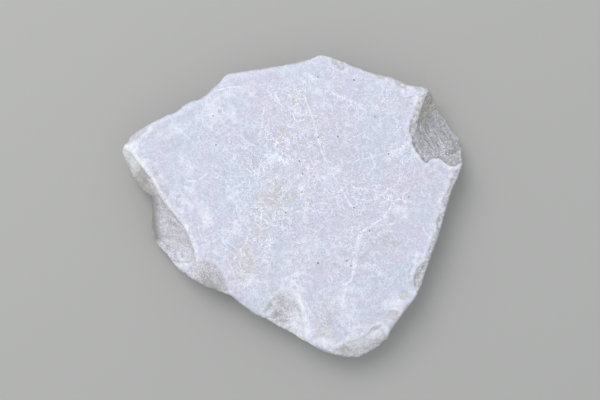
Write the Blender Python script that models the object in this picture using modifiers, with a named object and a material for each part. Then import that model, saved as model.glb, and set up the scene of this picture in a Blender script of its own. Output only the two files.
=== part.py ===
"""A tumbled stepping stone: one flat slab of pale limestone, its rim worn round by
tumbling and scarred where flakes were knocked off it.

It lies on its bed, on the ground. X runs along its long side, Y across it and Z up, and
the origin is the middle of its bounding box, on the ground. Lengths are in metres and
compass angles in degrees anticlockwise from +X.
"""

import math
import random

import bmesh
import bpy
from mathutils import Matrix, Vector

# Driving dimensions
THICKNESS = 0.055
UPRIGHT = (0.40 * THICKNESS, 0.86 * THICKNESS)  # the levels that the side is upright between
TOP_SHARE = 0.987  # outline of the top, as a share of the rim
BED_SHARE = 0.950  # outline of the bed, as a share of the rim

# The rim where the side is upright, anticlockwise from the left tip.
RIM = [
    (-0.2245, 0.0710), (-0.2135, 0.0355), (-0.1870, 0.0120), (-0.1850, 0.0040), (-0.1925, -0.0210),
    (-0.1900, -0.0400), (-0.1835, -0.0560), (-0.1710, -0.0680), (-0.1540, -0.0830), (-0.1150, -0.1035),
    (-0.0790, -0.1170), (-0.0510, -0.1400), (-0.0350, -0.1460), (0.0020, -0.1680), (0.0360, -0.1865),
    (0.0540, -0.1925), (0.0720, -0.1970), (0.0880, -0.1985), (0.1135, -0.1825), (0.1220, -0.1735),
    (0.1280, -0.1600), (0.1610, -0.1170), (0.1690, -0.0990), (0.1925, -0.0320), (0.2060, 0.0160),
    (0.2155, 0.0360), (0.2215, 0.0540), (0.2235, 0.0735), (0.2235, 0.0860), (0.2120, 0.1075),
    (0.1950, 0.1260), (0.1755, 0.1550), (0.1500, 0.1575), (0.1270, 0.1690), (0.1090, 0.1720),
    (0.0470, 0.1960), (0.0350, 0.1970), (0.0060, 0.1875), (-0.0840, 0.1722), (-0.1150, 0.1415),
    (-0.1335, 0.1355), (-0.1435, 0.1295), (-0.1495, 0.1225), (-0.1640, 0.1185), (-0.2105, 0.0935),
]  # fmt: skip

# Scars of the flakes knocked off the top's edge, each a hollow like the inside of a ball:
# a point on its lip, the compass angle and the steepness of its fall there, the hollow's
# radius, and how many times longer the hollow is down the fall than across it.
OLD_SCARS = {
    "left_tip": ((-0.1874, 0.0450), 211, 52, 0.26, 1.0),
    "behind_left_tip": ((-0.2010, 0.0830), 129, 50, 0.12, 1.0),
    "left_corner": ((-0.0936, -0.0796), 235, 27, 0.090, 1.0),
    "front": ((0.0830, -0.1715), 298, 31, 0.200, 1.0),
    "front_right": ((0.1190, -0.1520), 330, 40, 0.030, 1.0),
    "right_low": ((0.1560, -0.0900), 338, 38, 0.034, 1.2),
    "right_middle": ((0.1900, -0.0150), 343, 48, 0.030, 1.2),
    "right_high": ((0.2060, 0.0280), 338, 50, 0.045, 1.0),
    "back_left": ((-0.0400, 0.1770), 98, 55, 0.080, 1.0),
    "back_middle": ((0.0600, 0.1890), 70, 40, 0.035, 1.0),
    "back_right": ((0.1480, 0.1520), 75, 42, 0.040, 1.0),
}
LATE_SCARS = {
    "left": ((-0.1413, -0.0216), 210, 40, 0.306, 1.0),
    "front_left": ((-0.0046, -0.1159), 250, 20, 0.088, 1.3),
}
NOTCH_FLOOR = ((0.1572, 0.0805), 28, 32, 0.098, 1.7)
NOTCH_WALL = ((0.1665, 0.1332), 341, 48)  # the split face that the notch's floor runs into

# Shallow spalls all round the side, at its foot
SPALLS = 26
SPALL_SEED = 3
SPALL_LEVEL = (0.06 * THICKNESS, 0.28 * THICKNESS)
SPALL_RADIUS = (0.018, 0.045)
SPALL_DEPTH = (0.002, 0.0050)
SPALL_SHIFT = 0.3  # how far each strays along the rim, as a share of their spacing
SPALL_STRETCH = 1.5  # how many times longer it is along the rim than down it

# Wear and grain
VOXEL = 0.0024  # the even mesh that the wear is worked on
WEAR_STEP = 0.5  # how far one pass of wear moves a point towards its neighbours' middle
OLD_WEAR = 9  # passes of wear over the whole stone
LATE_WEAR = 2  # passes since the last flakes came off
SWELL = (0.110, 0.0030)  # size and height of the slow waves over the whole stone
RUBBLE = (0.022, 0.0032)  # size and height of the lumps on the broken faces
LUMPS_BEGIN = 0.97  # a face tilted further than this, as the upward part of its normal, is lumpy
LUMPS_GROW = 0.20  # the further tilt over which the lumps reach their full height
GROUND_IN = 0.0022  # the bed's high spots, worn off flat
TRIANGLES = 9200

# Blocks that cut, large enough to reach past the stone on every side
WALL_BLOCK = 0.5
GROUND_BLOCK = (0.6, 0.6, 0.05)
MERGE = 0.0001  # corners of the outline closer than this are one corner
LEVEL_GAP = 0.001  # a ring of corners lies at least this far from the upright stretch


def clear_scene():
    for obj in list(bpy.data.objects):
        bpy.data.objects.remove(obj)


def new_collection(name):
    collection = bpy.data.collections.new(name)
    bpy.context.scene.collection.children.link(collection)
    return collection


def baked(obj, name, collection):
    """A new object of the mesh that obj shows with its modifiers, which replaces obj."""
    bpy.context.view_layer.update()
    graph = bpy.context.evaluated_depsgraph_get()
    mesh = bpy.data.meshes.new_from_object(obj.evaluated_get(graph))
    made = bpy.data.objects.new(name, mesh)
    made.matrix_world = obj.matrix_world
    collection.objects.link(made)
    bpy.data.objects.remove(obj)
    return made


def slab(collection):
    """The rim's outline pulled up to a slab, drawn in towards its top and its bed."""
    curve = bpy.data.curves.new("rim", "CURVE")
    curve.dimensions = "2D"
    curve.fill_mode = "BOTH"
    curve.extrude = (THICKNESS + GROUND_IN) / 2
    spline = curve.splines.new("POLY")
    spline.points.add(len(RIM) - 1)
    spline.use_cyclic_u = True
    for point, (x, y) in zip(spline.points, RIM):
        point.co = (x, y, 0, 1)
    rim = bpy.data.objects.new("rim", curve)
    rim.location.z = (THICKNESS - GROUND_IN) / 2
    collection.objects.link(rim)
    block = baked(rim, "block", collection)
    work = bmesh.new()
    work.from_mesh(block.data)
    work.transform(block.matrix_world)
    block.matrix_world = Matrix()
    bmesh.ops.remove_doubles(work, verts=work.verts, dist=MERGE)
    low, high = UPRIGHT
    for level in UPRIGHT:
        everything = work.verts[:] + work.edges[:] + work.faces[:]
        bmesh.ops.bisect_plane(work, geom=everything, plane_co=(0, 0, level), plane_no=(0, 0, 1))
    for share, ring in (
        (TOP_SHARE, [v for v in work.verts if v.co.z > high + LEVEL_GAP]),
        (BED_SHARE, [v for v in work.verts if v.co.z < low - LEVEL_GAP]),
    ):
        bmesh.ops.scale(work, vec=(share, share, 1), verts=ring)
    bmesh.ops.recalc_face_normals(work, faces=work.faces)
    work.to_mesh(block.data)
    work.free()
    return block


def fall(facing, slope):
    """The frame of a face that falls at slope towards facing: X down it, Z out of it."""
    return Matrix.Rotation(math.radians(facing), 3, "Z") @ Matrix.Rotation(math.radians(slope), 3, "Y")


def ball(name, centre, axes, radii, collection):
    """A cutter in the shape of a ball, stretched along axes."""
    mesh = bpy.data.meshes.new(name)
    work = bmesh.new()
    bmesh.ops.create_icosphere(work, subdivisions=4, radius=1)
    work.to_mesh(mesh)
    work.free()
    cutter = bpy.data.objects.new(name, mesh)
    cutter.matrix_world = Matrix.LocRotScale(centre, axes, Vector(radii))
    collection.objects.link(cutter)
    return cutter


def scar(name, shape, collection):
    lip, facing, slope, hollow, stretch = shape
    axes = fall(facing, slope)
    centre = Vector((*lip, THICKNESS)) + hollow * axes.col[2]
    return ball(name, centre, axes, (hollow * stretch, hollow, hollow), collection)


def notch(collection):
    """The floor's hollow, kept only on the open side of the notch's wall."""
    cutter = scar("notch", NOTCH_FLOOR, collection)
    lip, facing, slope = NOTCH_WALL
    mesh = bpy.data.meshes.new("notch_wall")
    work = bmesh.new()
    bmesh.ops.create_cube(work, size=WALL_BLOCK)
    work.to_mesh(mesh)
    work.free()
    wall = bpy.data.objects.new("notch_wall", mesh)
    axes = fall(facing, slope)
    centre = Vector((*lip, THICKNESS)) + WALL_BLOCK / 2 * axes.col[2]
    wall.matrix_world = Matrix.LocRotScale(centre, axes, Vector((1, 1, 1)))
    collection.objects.link(wall)
    boolean(cutter, wall, "INTERSECT")
    return cutter


def spalls(collection):
    """Hollows spaced round the side, at odd places, levels and sizes."""
    draw = random.Random(SPALL_SEED)
    points = [Vector(point) for point in RIM]
    sides = [(b - a).length for a, b in zip(points, points[1:] + points[:1])]
    made = []
    for index in range(SPALLS):
        along = (index + draw.uniform(-SPALL_SHIFT, SPALL_SHIFT)) * sum(sides) / SPALLS % sum(sides)
        corner = 0
        while along > sides[corner]:
            along -= sides[corner]
            corner += 1
        start, end = points[corner], points[(corner + 1) % len(points)]
        run = (end - start).normalized()
        out = Vector((run.y, -run.x, 0))
        radius = draw.uniform(*SPALL_RADIUS)
        depth = draw.uniform(*SPALL_DEPTH)
        place = (start + along * run).to_3d()
        place.z = draw.uniform(*SPALL_LEVEL)
        inset = (1 - BED_SHARE) * place.length * (1 - place.z / UPRIGHT[0])
        centre = place + (radius - depth - inset) * out
        turn = Matrix.Rotation(math.atan2(out.y, out.x), 3, "Z")
        radii = (radius, radius * SPALL_STRETCH, radius)
        made.append(ball(f"spall_{index}", centre, turn, radii, collection))
    return made


def boolean(obj, cutter, operation):
    modifier = obj.modifiers.new(cutter.name, "BOOLEAN")
    modifier.operation = operation
    modifier.object = cutter
    cutter.hide_render = True
    cutter.display_type = "WIRE"


def displace(obj, name, size, height, group=""):
    texture = bpy.data.textures.new(name, "CLOUDS")
    texture.noise_scale = size
    texture.noise_depth = 3
    modifier = obj.modifiers.new(name, "DISPLACE")
    modifier.texture = texture
    modifier.texture_coords = "LOCAL"
    modifier.strength = height
    modifier.mid_level = 0.5
    modifier.vertex_group = group


def tumbled(block, name, passes, collection):
    """The block evenly meshed, with its edges worn round."""
    remesh = block.modifiers.new("mesh", "REMESH")
    remesh.mode = "VOXEL"
    remesh.voxel_size = VOXEL
    wear = block.modifiers.new("wear", "SMOOTH")
    wear.factor = WEAR_STEP
    wear.iterations = passes
    return baked(block, name, collection)


def uneven(stone):
    """Slow waves over the whole stone and lumps where it is broken, in few triangles."""
    broken = stone.vertex_groups.new(name="broken")
    for vertex in stone.data.vertices:
        weight = min(1, (LUMPS_BEGIN - abs(vertex.normal.z)) / LUMPS_GROW)
        if weight > 0:
            broken.add([vertex.index], weight, "REPLACE")
    displace(stone, "swell", *SWELL)
    displace(stone, "rubble", *RUBBLE, group="broken")
    facets = stone.modifiers.new("facets", "DECIMATE")
    facets.ratio = TRIANGLES / (2 * len(stone.data.polygons))


def ground(collection):
    """What lies below the ground: it takes off the bed's high spots."""
    mesh = bpy.data.meshes.new("ground")
    work = bmesh.new()
    bmesh.ops.create_cube(work, size=1)
    bmesh.ops.scale(work, vec=GROUND_BLOCK, verts=work.verts)
    bmesh.ops.translate(work, vec=(0, 0, -GROUND_BLOCK[2] / 2), verts=work.verts)
    work.to_mesh(mesh)
    work.free()
    obj = bpy.data.objects.new("ground", mesh)
    collection.objects.link(obj)
    return obj


def centre_over_origin(stone):
    """Puts the middle of the finished stone's bounding box over the origin."""
    bpy.context.view_layer.update()
    graph = bpy.context.evaluated_depsgraph_get()
    points = [vertex.co for vertex in stone.evaluated_get(graph).data.vertices]
    for axis in range(2):
        along = [point[axis] for point in points]
        stone.location[axis] = -(min(along) + max(along)) / 2


def limestone():
    material = bpy.data.materials.new("pale_limestone")
    material.use_nodes = True
    shader = material.node_tree.nodes["Principled BSDF"]
    shader.inputs["Base Color"].default_value = (0.63, 0.65, 0.74, 1)
    shader.inputs["Roughness"].default_value = 0.72
    shader.inputs["Metallic"].default_value = 0.0
    return material


def main():
    clear_scene()
    stepping_stone = new_collection("tumbled_stepping_stone")
    cutters = new_collection("cutters")
    block = slab(stepping_stone)
    for name, shape in OLD_SCARS.items():
        boolean(block, scar(name, shape, cutters), "DIFFERENCE")
    for spall in spalls(cutters):
        boolean(block, spall, "DIFFERENCE")
    block = tumbled(block, "block", OLD_WEAR, stepping_stone)
    for name, shape in LATE_SCARS.items():
        boolean(block, scar(name, shape, cutters), "DIFFERENCE")
    boolean(block, notch(cutters), "DIFFERENCE")
    stone = tumbled(block, "stone", LATE_WEAR, stepping_stone)
    uneven(stone)
    boolean(stone, ground(cutters), "DIFFERENCE")
    centre_over_origin(stone)
    stone.data.materials.clear()
    stone.data.materials.append(limestone())


main()
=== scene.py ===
import math
import random

import bpy
import numpy as np
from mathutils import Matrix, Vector


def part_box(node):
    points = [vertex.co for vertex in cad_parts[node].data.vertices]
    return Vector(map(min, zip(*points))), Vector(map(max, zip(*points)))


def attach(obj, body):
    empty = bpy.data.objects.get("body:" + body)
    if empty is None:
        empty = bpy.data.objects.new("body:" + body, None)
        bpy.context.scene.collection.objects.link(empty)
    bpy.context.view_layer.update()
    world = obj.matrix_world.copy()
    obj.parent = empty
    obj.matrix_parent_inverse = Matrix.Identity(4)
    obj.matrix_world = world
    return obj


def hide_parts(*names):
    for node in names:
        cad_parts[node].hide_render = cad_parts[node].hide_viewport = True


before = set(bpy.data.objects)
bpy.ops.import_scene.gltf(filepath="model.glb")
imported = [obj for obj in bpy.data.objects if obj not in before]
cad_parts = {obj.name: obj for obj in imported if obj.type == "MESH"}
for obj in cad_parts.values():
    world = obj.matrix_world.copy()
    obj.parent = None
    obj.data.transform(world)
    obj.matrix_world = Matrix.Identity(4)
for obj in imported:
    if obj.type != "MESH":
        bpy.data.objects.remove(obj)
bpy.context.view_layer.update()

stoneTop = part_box("stone")[1].z
print("packed slab loaded, top at", round(stoneTop, 4))


def deselectAll():
    for other in list(bpy.context.selected_objects):
        other.select_set(False)


def applied(piece, kind, **settings):
    modifier = piece.modifiers.new(kind.lower(), kind)
    for name, value in settings.items():
        setattr(modifier, name, value)
    bpy.context.view_layer.objects.active = piece
    bpy.ops.object.modifier_apply(modifier=modifier.name)


def compass(degrees):
    return Vector((math.cos(math.radians(degrees)), math.sin(math.radians(degrees)), 0))


cameraLook = {
    "over": (0.0102, 0.0091),  # the point of the slab that it looks straight down at
    "height": 1.0,  # above the slab's top
    "lens": 46.5,
    "sensor": 36.0,
}
lightLook = {
    "sky": (0.95, 0.97, 1.0),
    "skyStrength": 0.715,
    "keyFrom": (-1.28, 1.96, 2.98),
    "keySize": 2.2,
    "keyPower": 72.5,
}
floorLook = {
    "size": 14.0,
    "colour": (0.42, 0.42, 0.405),
    "roughness": 0.85,
}


def makeCamera(look):
    bpy.ops.object.camera_add(location=(*look["over"], stoneTop + look["height"]), rotation=(0, 0, 0))
    camera = bpy.context.object
    camera.name = "lookingDown"
    camera.data.lens = look["lens"]
    camera.data.sensor_width = look["sensor"]
    bpy.context.scene.camera = camera


def makeLight(look):
    world = bpy.data.worlds.new("paleSky")
    world.use_nodes = True
    world.node_tree.nodes["Background"].inputs["Color"].default_value = (*look["sky"], 1)
    world.node_tree.nodes["Background"].inputs["Strength"].default_value = look["skyStrength"]
    bpy.context.scene.world = world
    aim = -Vector(look["keyFrom"])
    bpy.ops.object.light_add(
        type="AREA", location=look["keyFrom"], rotation=aim.to_track_quat("-Z", "Y").to_euler()
    )
    key = bpy.context.object
    key.name = "softKey"
    key.data.size = look["keySize"]
    key.data.energy = look["keyPower"]


def makeFloor(look):
    bpy.ops.mesh.primitive_plane_add(size=look["size"], location=(0, 0, 0))
    floor = bpy.context.object
    floor.name = "floor"
    paint = bpy.data.materials.new("paleFloor")
    paint.use_nodes = True
    shader = paint.node_tree.nodes["Principled BSDF"]
    shader.inputs["Base Color"].default_value = (*look["colour"], 1)
    shader.inputs["Roughness"].default_value = look["roughness"]
    floor.data.materials.append(paint)


bpy.context.scene.view_settings.view_transform = "Standard"
deselectAll()
makeCamera(cameraLook)
makeLight(lightLook)
makeFloor(floorLook)
print("camera, light and floor set")


shapeLook = {
    "mergeWithin": 0.00002,
    "firstGrid": 0.0018,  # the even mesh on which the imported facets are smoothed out
    "facetWear": 4,
    "cutRounds": 4,
    "ballLumps": (0.9, 0.15),  # lump size and height on each cutting ball, as shares of its radius
    "finalGrid": 0.0012,
    "edgeWear": 1,
    "smoothing": 0.5,
    "mostTriangles": 195000,
    # how readily the even mesh is thinned out, 0 never to 1 freely
    "thinning": {"broken": 0.28, "side": 0.50, "top": 0.70, "underside": 0.80},
}
# bruises and flakes, metres from the slab's middle: place, ball radius, depth
flakes = {
    "ledge by the notch": [
        ((0.1669, 0.1420), 0.0050, 0.0009), ((0.1650, 0.1340), 0.0060, 0.0012),
        ((0.1618, 0.1262), 0.0065, 0.0013), ((0.1583, 0.1180), 0.0065, 0.0014),
        ((0.1548, 0.1105), 0.0060, 0.0014), ((0.1538, 0.1030), 0.0050, 0.0012),
        ((0.1545, 0.0960), 0.0045, 0.0010),
    ],
    "notch lip": [
        ((0.1560, 0.0905), 0.0060, 0.0016), ((0.1568, 0.0800), 0.0070, 0.0018),
        ((0.1615, 0.0710), 0.0060, 0.0014), ((0.1685, 0.0620), 0.0055, 0.0014),
        ((0.1730, 0.0588), 0.0045, 0.0010), ((0.1990, 0.0540), 0.0070, 0.0010),
    ],
    "right edge": [
        ((0.2120, 0.0440), 0.0100, 0.0022), ((0.2075, 0.0330), 0.0090, 0.0020),
        ((0.2035, 0.0210), 0.0080, 0.0016), ((0.1930, -0.0080), 0.0090, 0.0022),
        ((0.1895, -0.0200), 0.0110, 0.0025), ((0.1790, -0.0560), 0.0080, 0.0014),
        ((0.1720, -0.0800), 0.0100, 0.0022), ((0.1650, -0.0900), 0.0090, 0.0022),
        ((0.1590, -0.1010), 0.0110, 0.0026), ((0.1500, -0.1180), 0.0070, 0.0012),
    ],
    "round spots": [
        ((0.1440, -0.1134), 0.0300, 0.0009), ((0.1308, -0.1398), 0.0330, 0.0010),
    ],
    "back edge": [
        ((0.0560, 0.1870), 0.0100, 0.0022), ((0.0480, 0.1900), 0.0070, 0.0014),
        ((0.1080, 0.1640), 0.0090, 0.0020), ((0.1400, 0.1530), 0.0100, 0.0018),
        ((0.1500, 0.1500), 0.0080, 0.0018), ((-0.0120, 0.1790), 0.0140, 0.0022),
        ((-0.0480, 0.1720), 0.0120, 0.0020), ((-0.0880, 0.1660), 0.0090, 0.0014),
        ((-0.1400, 0.1260), 0.0100, 0.0016), ((-0.1720, 0.1080), 0.0090, 0.0012),
    ],
    "left edge": [
        ((-0.1820, 0.0370), 0.0080, 0.0014), ((-0.1700, 0.0190), 0.0070, 0.0012),
        ((-0.1560, 0.0000), 0.0080, 0.0012), ((-0.1440, -0.0210), 0.0070, 0.0010),
        ((-0.1280, -0.0560), 0.0070, 0.0010), ((-0.1840, 0.0880), 0.0070, 0.0010),
    ],
    "front edge": [
        ((-0.1020, -0.0900), 0.0120, 0.0020), ((-0.0860, -0.1080), 0.0090, 0.0016),
        ((-0.0660, -0.1220), 0.0080, 0.0014), ((-0.0300, -0.1380), 0.0110, 0.0020),
        ((-0.0120, -0.1500), 0.0120, 0.0018), ((0.0260, -0.1760), 0.0090, 0.0014),
        ((0.0560, -0.1860), 0.0100, 0.0020), ((0.0990, -0.1620), 0.0110, 0.0020),
        ((0.1070, -0.1570), 0.0080, 0.0014),
    ],
}
sideFlakes = {
    "count": 46,
    "seed": 5,
    "lookFrom": 0.5,  # distance from the middle
    "scatter": 0.4,  # share of the step from one to the next
    "levels": (0.008, 0.046),
    "radius": (0.008, 0.020),
    "depth": (0.0010, 0.0026),
}
# broken faces: feather of the edge, how broken it looks, rubbed lip round it, painted shade in a dark
# crease inside it, outline seen from above at the top's level
brokenFaces = {
    "left": (0.0012, 0.80, 0.95, 0.29, [
        (-0.2143, 0.0749), (-0.2078, 0.0710), (-0.2014, 0.0620), (-0.1962, 0.0555), (-0.1923, 0.0504),
        (-0.1878, 0.0439), (-0.1833, 0.0388), (-0.1794, 0.0323), (-0.1762, 0.0259), (-0.1730, 0.0194),
        (-0.1685, 0.0117), (-0.1627, 0.0027), (-0.1536, -0.0064), (-0.1472, -0.0154), (-0.1394, -0.0244),
        (-0.1317, -0.0399), (-0.1265, -0.0554), (-0.1240, -0.0709), (-0.1446, -0.0722), (-0.1639, -0.0670),
        (-0.1756, -0.0515), (-0.1900, -0.0360), (-0.2100, 0.0091), (-0.2400, 0.0478), (-0.2500, 0.0736),
        (-0.2168, 0.0775),
    ]),
    "crumbs by the left edge": (0.0024, 0.50, 0.20, 0.05, [
        (-0.1812, 0.0530), (-0.1761, 0.0530), (-0.1706, 0.0413), (-0.1627, 0.0285), (-0.1570, 0.0170),
        (-0.1609, 0.0122), (-0.1663, 0.0194), (-0.1733, 0.0297), (-0.1787, 0.0413),
    ]),
    "left foot": (0.0070, 0.85, 0.45, 0.10, [
        (-0.1240, -0.0709), (-0.1111, -0.0696), (-0.0994, -0.0735), (-0.0904, -0.0864), (-0.0840, -0.1044),
        (-0.0865, -0.1360), (-0.1188, -0.1220), (-0.1500, -0.1030), (-0.1317, -0.0786),
    ]),
    "front scar": (0.0060, 0.85, 0.50, 0.10, [
        (-0.0388, -0.1392), (-0.0311, -0.1251), (-0.0208, -0.1147), (-0.0130, -0.1083), (-0.0001, -0.1083),
        (0.0050, -0.1199), (0.0102, -0.1328), (0.0141, -0.1483), (0.0179, -0.1800), (0.0102, -0.1920),
        (-0.0414, -0.1660),
    ]),
    "front facet": (0.0026, 0.95, 0.55, 0.21, [
        (0.0528, -0.1857), (0.0618, -0.1792), (0.0747, -0.1728), (0.0876, -0.1689), (0.0979, -0.1625),
        (0.1031, -0.1560), (0.1134, -0.1521), (0.1289, -0.1780), (0.1134, -0.2000), (0.0876, -0.2180),
        (0.0553, -0.2120),
    ]),
    "tip": (0.0015, 0.42, 0.45, 0.10, [
        (-0.2039, 0.0852), (-0.1962, 0.0904), (-0.1859, 0.0994), (-0.1962, 0.1158), (-0.2360, 0.0965),
        (-0.2117, 0.0788),
    ]),
    "right scar": (0.0020, 0.90, 0.60, 0.42, [
        (0.1608, -0.1110), (0.1566, -0.1012), (0.1574, -0.0895), (0.1612, -0.0777), (0.1712, -0.0690),
        (0.2000, -0.0709), (0.1880, -0.1006), (0.1700, -0.1250),
    ]),
    "right facet": (0.0016, 0.80, 0.55, 0.34, [
        (0.1860, -0.0290), (0.1862, -0.0190), (0.1886, -0.0109), (0.1948, -0.0055), (0.2150, -0.0038),
        (0.2080, -0.0322),
    ]),
    "right rim": (0.0022, 0.55, 0.45, 0.15, [
        (0.1702, -0.0670), (0.1752, -0.0566), (0.1786, -0.0448), (0.1821, -0.0354), (0.1866, -0.0290),
        (0.2080, -0.0322), (0.2000, -0.0690),
    ]),
    "right strip": (0.0018, 0.66, 0.50, 0.20, [
        (0.1936, 0.0012), (0.1926, 0.0079), (0.1974, 0.0162), (0.2028, 0.0255), (0.2042, 0.0349),
        (0.2100, 0.0443), (0.2127, 0.0500), (0.2300, 0.0504), (0.2260, 0.0272), (0.2140, 0.0000),
    ]),
    "back peak": (0.0022, 0.60, 0.30, 0.20, [
        (0.0490, 0.1960), (0.0515, 0.1850), (0.0575, 0.1795), (0.0635, 0.1765), (0.0680, 0.1790),
        (0.0660, 0.1880),
    ]),
    "back right edge": (0.0018, 0.60, 0.30, 0.20, [
        (0.0930, 0.1830), (0.0975, 0.1768), (0.1075, 0.1712), (0.1110, 0.1660), (0.1178, 0.1645),
        (0.1210, 0.1700), (0.1080, 0.1790),
    ]),
    "back right chip": (0.0018, 0.60, 0.30, 0.15, [
        (0.1310, 0.1660), (0.1341, 0.1570), (0.1400, 0.1545), (0.1463, 0.1515), (0.1500, 0.1580),
        (0.1400, 0.1680),
    ]),
    "corner by the notch": (0.0024, 0.50, 0.20, 0.10, [
        (0.1540, 0.1600), (0.1575, 0.1530), (0.1640, 0.1495), (0.1708, 0.1480), (0.1740, 0.1530),
        (0.1700, 0.1610),
    ]),
    "ledge": (0.0015, 0.95, 0.30, 0.21, [
        (0.1690, 0.1450), (0.1640, 0.1420), (0.1624, 0.1381), (0.1624, 0.1330), (0.1592, 0.1295),
        (0.1586, 0.1239), (0.1558, 0.1205), (0.1556, 0.1149), (0.1520, 0.1110), (0.1512, 0.1033),
        (0.1508, 0.0968), (0.1534, 0.0932), (0.1600, 0.0930), (0.1650, 0.1020), (0.1640, 0.1097),
        (0.1680, 0.1304), (0.1735, 0.1433), (0.1735, 0.1460),
    ]),
    "notch": (0.0010, 1.00, 0.45, 0.46, [
        (0.1753, 0.1500), (0.1727, 0.1433), (0.1676, 0.1304), (0.1624, 0.1110), (0.1611, 0.1020),
        (0.1586, 0.0942), (0.1547, 0.0917), (0.1541, 0.0850), (0.1567, 0.0775), (0.1600, 0.0717),
        (0.1644, 0.0672), (0.1682, 0.0612), (0.1715, 0.0572), (0.1753, 0.0566), (0.1768, 0.0604),
        (0.1799, 0.0626), (0.1882, 0.0630), (0.1940, 0.0600), (0.1985, 0.0558), (0.2031, 0.0527),
        (0.2102, 0.0523), (0.2147, 0.0555),
        (0.2300, 0.0620), (0.2400, 0.0800), (0.2150, 0.1300), (0.1900, 0.1600),
    ]),
}
# where each mask begins and where it is full: metres inside an outline, below zero outside
outlineMasks = {
    "near": (-0.0100, -0.0060),
    "lip": (-0.0062, -0.0036),
    # painted shade: a dark band just inside each broken face's outline
    "grooveShade": (0, 0.0012),
    "grooveEnd": (0.0036, 0.0014),
    "notch": (-0.001, 0.001),
}
# the same by how far up a face looks, 1 straight up to -1 straight down
facingMasks = {
    "side": (0.80, 0.35),
    "steep": (0.75, 0.35),
    "onTop": (0.7, 0.9),
    "top": (0.55, 0.85),
    "onSide": (0.7, 0.3),
    "under": (-0.6, -0.9),
}
# the same by how sharply the surface bends, in grid widths
bendMasks = {
    "rim": (0.05, 0.18),
    "lip": (0.10, 0.34),
    "worn": (0.01, 0.10),
    # hollows, which the finish darkens as painted shade
    "hollowShade": (0.01, 0.08),
}
maskShares = {
    "brokenSide": 0.85,  # how broken the sides look
    "rubbedRim": 0.45,
    "calmWall": 0.8,  # how much less relief the notch's wall and floor have
    "calmNotch": 0.35,
}
# the notch's smooth upright wall
wallOutline = [
    (0.1753, 0.1520), (0.1805, 0.1450), (0.1860, 0.1300), (0.1805, 0.1265), (0.1740, 0.1200),
    (0.1702, 0.1110), (0.1637, 0.1090), (0.1600, 0.1110), (0.1676, 0.1304), (0.1727, 0.1433),
]
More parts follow.
